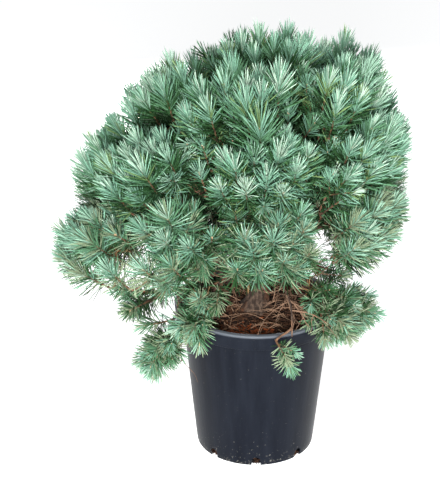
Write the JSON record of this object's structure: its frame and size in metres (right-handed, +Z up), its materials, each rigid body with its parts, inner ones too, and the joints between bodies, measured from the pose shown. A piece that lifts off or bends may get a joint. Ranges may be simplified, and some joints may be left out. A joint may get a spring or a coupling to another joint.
{
  "type": "potted scots pine",
  "caption": "Dwarf Scots pine with a low rounded crown of blue-green needle brushes on a short trunk, in a round black nursery pot filled with bark compost.",
  "frame": {"origin": "centre of the pot's flat underside, on the ground", "axes": "+Z up along the pot's axis, -Y towards the side seen in the picture, +X to the right in the picture"},
  "size_m": [0.8744, 0.7691, 1.0785],
  "materials": {
    "pot": "smooth moulded plastic with a soft sheen, dusty near the foot",
    "compost": "rough crumbly bark compost with dead needles on it",
    "bark": "rough flaking bark, matt",
    "needles": "blue-green needles with a waxy bloom, matt"
  },
  "bodies": {
    "root": {"bough_back_left": "bark", "bough_back_right": "bark", "bough_front_left": "bark", "bough_front_right": "bark", "bough_front_sprig": "bark", "bough_left": "bark", "bough_left_low": "bark", "bough_lower_1": "bark", "bough_lower_2": "bark", "bough_lower_3": "bark", "bough_lower_4": "bark", "bough_lower_5": "bark", "bough_lower_6": "bark", "bough_lower_7": "bark", "bough_lower_8": "bark", "bough_middle_1": "bark", "bough_middle_2": "bark", "bough_middle_3": "bark", "bough_middle_4": "bark", "bough_middle_5": "bark", "bough_middle_6": "bark", "bough_middle_7": "bark", "bough_right": "bark", "bough_upper_1": "bark", "bough_upper_2": "bark", "bough_upper_3": "bark", "bough_upper_4": "bark", "bough_upper_5": "bark", "compost": "compost", "needles_back_left": "needles", "needles_back_right": "needles", "needles_front_left": "needles", "needles_front_right": "needles", "needles_front_sprig": "needles", "needles_left": "needles", "needles_left_low": "needles", "needles_lower_1": "needles", "needles_lower_2": "needles", "needles_lower_3": "needles", "needles_lower_4": "needles", "needles_lower_5": "needles", "needles_lower_6": "needles", "needles_lower_7": "needles", "needles_lower_8": "needles", "needles_middle_1": "needles", "needles_middle_2": "needles", "needles_middle_3": "needles", "needles_middle_4": "needles", "needles_middle_5": "needles", "needles_middle_6": "needles", "needles_middle_7": "needles", "needles_right": "needles", "needles_top": "needles", "needles_upper_1": "needles", "needles_upper_2": "needles", "needles_upper_3": "needles", "needles_upper_4": "needles", "needles_upper_5": "needles", "pot": "pot", "trunk": "bark"}
  },
  "joints": []
}
